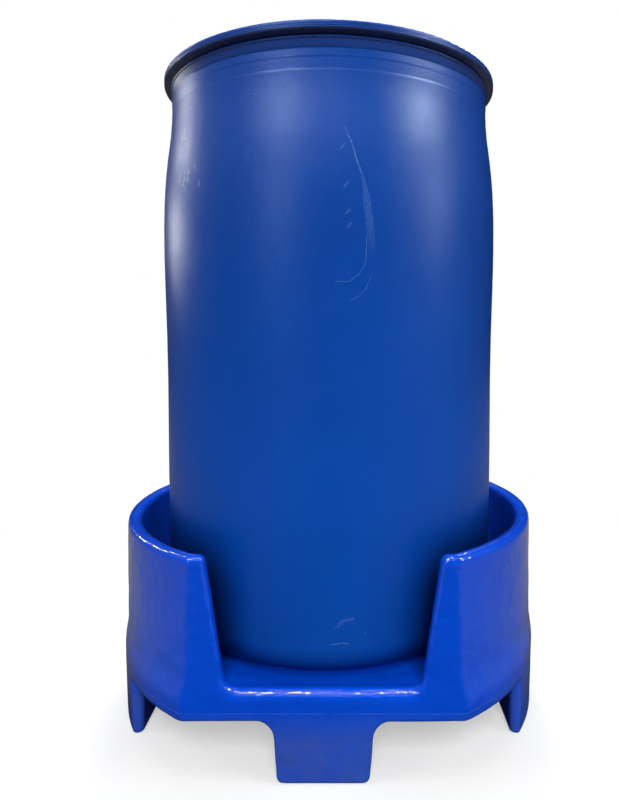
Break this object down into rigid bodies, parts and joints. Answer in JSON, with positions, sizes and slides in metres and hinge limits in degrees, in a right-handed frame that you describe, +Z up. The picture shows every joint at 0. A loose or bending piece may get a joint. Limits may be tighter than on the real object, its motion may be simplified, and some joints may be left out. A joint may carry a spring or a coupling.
{
  "type": "drum waterer",
  "caption": "Livestock and poultry waterer: a standing plastic drum feeds a legged trough with drinking openings through a float valve under the drum.",
  "frame": {"origin": "on the ground under the drum's axis, at the centre of the stand's footprint", "axes": "+Z up along the drum's axis; -Y towards the front drinking opening; +X to the right seen from the front"},
  "size_m": [0.729, 0.605, 1.07],
  "materials": {
    "drum_plastic": "satin blow-moulded polyethylene",
    "trough_plastic": "glossy rotationally moulded polyethylene",
    "closure_plastic": "satin natural polyethylene",
    "vent_plastic": "satin black plastic",
    "fitting_plastic": "satin black polypropylene",
    "seal_rubber": "matt black rubber",
    "valve_brass": "turned brass",
    "pin_steel": "stainless steel",
    "float_plastic": "smooth white plastic"
  },
  "bodies": {
    "stand": {"trough_stand": "trough_plastic", "moulding_vent_plug": "vent_plastic"},
    "drum": {"drum_shell": "drum_plastic", "outlet_fitting": "fitting_plastic", "outlet_gasket": "seal_rubber", "outlet_nut": "fitting_plastic", "valve_inlet_washer": "seal_rubber", "valve_body": "valve_brass", "valve_nozzle": "valve_brass", "lever_pin": "pin_steel", "pin_clip": "pin_steel"},
    "fill_bung_seal": {"fill_bung_gasket": "seal_rubber"},
    "fill_bung": {"fill_bung": "closure_plastic"},
    "pipe_bung_seal": {"pipe_bung_gasket": "seal_rubber"},
    "pipe_bung": {"pipe_bung": "closure_plastic"},
    "vent_plug_seal": {"vent_plug_gasket": "seal_rubber"},
    "vent_plug": {"vent_plug": "vent_plastic"},
    "drain_plug_seal": {"drain_plug_gasket": "seal_rubber"},
    "drain_plug": {"drain_plug": "fitting_plastic"},
    "float_arm": {"float_lever": "valve_brass", "float_rod": "valve_brass", "rod_locknuts": "valve_brass", "float": "float_plastic"},
    "plunger": {"valve_plunger": "valve_brass", "plunger_washer": "seal_rubber"}
  },
  "joints": [
    {"name": "drum_lift", "type": "slide", "parent": "stand", "child": "drum", "axis": [0, 0, 1], "range_m": [0, 0.3]},
    {"name": "fill_bung_travel", "type": "slide", "parent": "drum", "child": "fill_bung_seal", "axis": [0, 0, 1], "range_m": [0, 0.0205]},
    {"name": "fill_bung_turn", "type": "hinge", "parent": "fill_bung_seal", "child": "fill_bung", "pos_m": [0.195, 0, 1.05], "axis": [0, 0, 1], "range_deg": [0, 1800]},
    {"name": "pipe_bung_travel", "type": "slide", "parent": "drum", "child": "pipe_bung_seal", "axis": [0, 0, 1], "range_m": [0, 0.01817]},
    {"name": "pipe_bung_turn", "type": "hinge", "parent": "pipe_bung_seal", "child": "pipe_bung", "pos_m": [-0.195, 0, 1.05], "axis": [0, 0, 1], "range_deg": [0, 2880]},
    {"name": "vent_plug_travel", "type": "slide", "parent": "pipe_bung", "child": "vent_plug_seal", "axis": [0, 0, 1], "range_m": [0, 0.01683]},
    {"name": "vent_plug_turn", "type": "hinge", "parent": "vent_plug_seal", "child": "vent_plug", "pos_m": [-0.195, 0, 1.055], "axis": [0, 0, 1], "range_deg": [0, 3240]},
    {"name": "drain_plug_travel", "type": "slide", "parent": "stand", "child": "drain_plug_seal", "axis": [0, 0, -1], "range_m": [0, 0.0132]},
    {"name": "drain_plug_turn", "type": "hinge", "parent": "drain_plug_seal", "child": "drain_plug", "pos_m": [0, 0, 0.054], "axis": [0, 0, -1], "range_deg": [0, 2520]},
    {"name": "float_arm_swing", "type": "hinge", "parent": "drum", "child": "float_arm", "pos_m": [-0.016, 0, 0.098], "axis": [0, -1, 0], "range_deg": [0, 12]},
    {"name": "plunger_travel", "type": "slide", "parent": "drum", "child": "plunger", "axis": [0, 0, 1], "range_m": [0, 0.0028]}
  ],
  "couplings": [
    {"joint": "fill_bung_travel", "follows": "fill_bung_turn", "m_per_rad": 0.00063662},
    {"joint": "pipe_bung_travel", "follows": "pipe_bung_turn", "m_per_rad": 0.00035157},
    {"joint": "vent_plug_travel", "follows": "vent_plug_turn", "m_per_rad": 0.00028871},
    {"joint": "drain_plug_travel", "follows": "drain_plug_turn", "m_per_rad": 0.00028871},
    {"joint": "plunger_travel", "follows": "float_arm_swing", "m_per_rad": 0.013274}
  ]
}
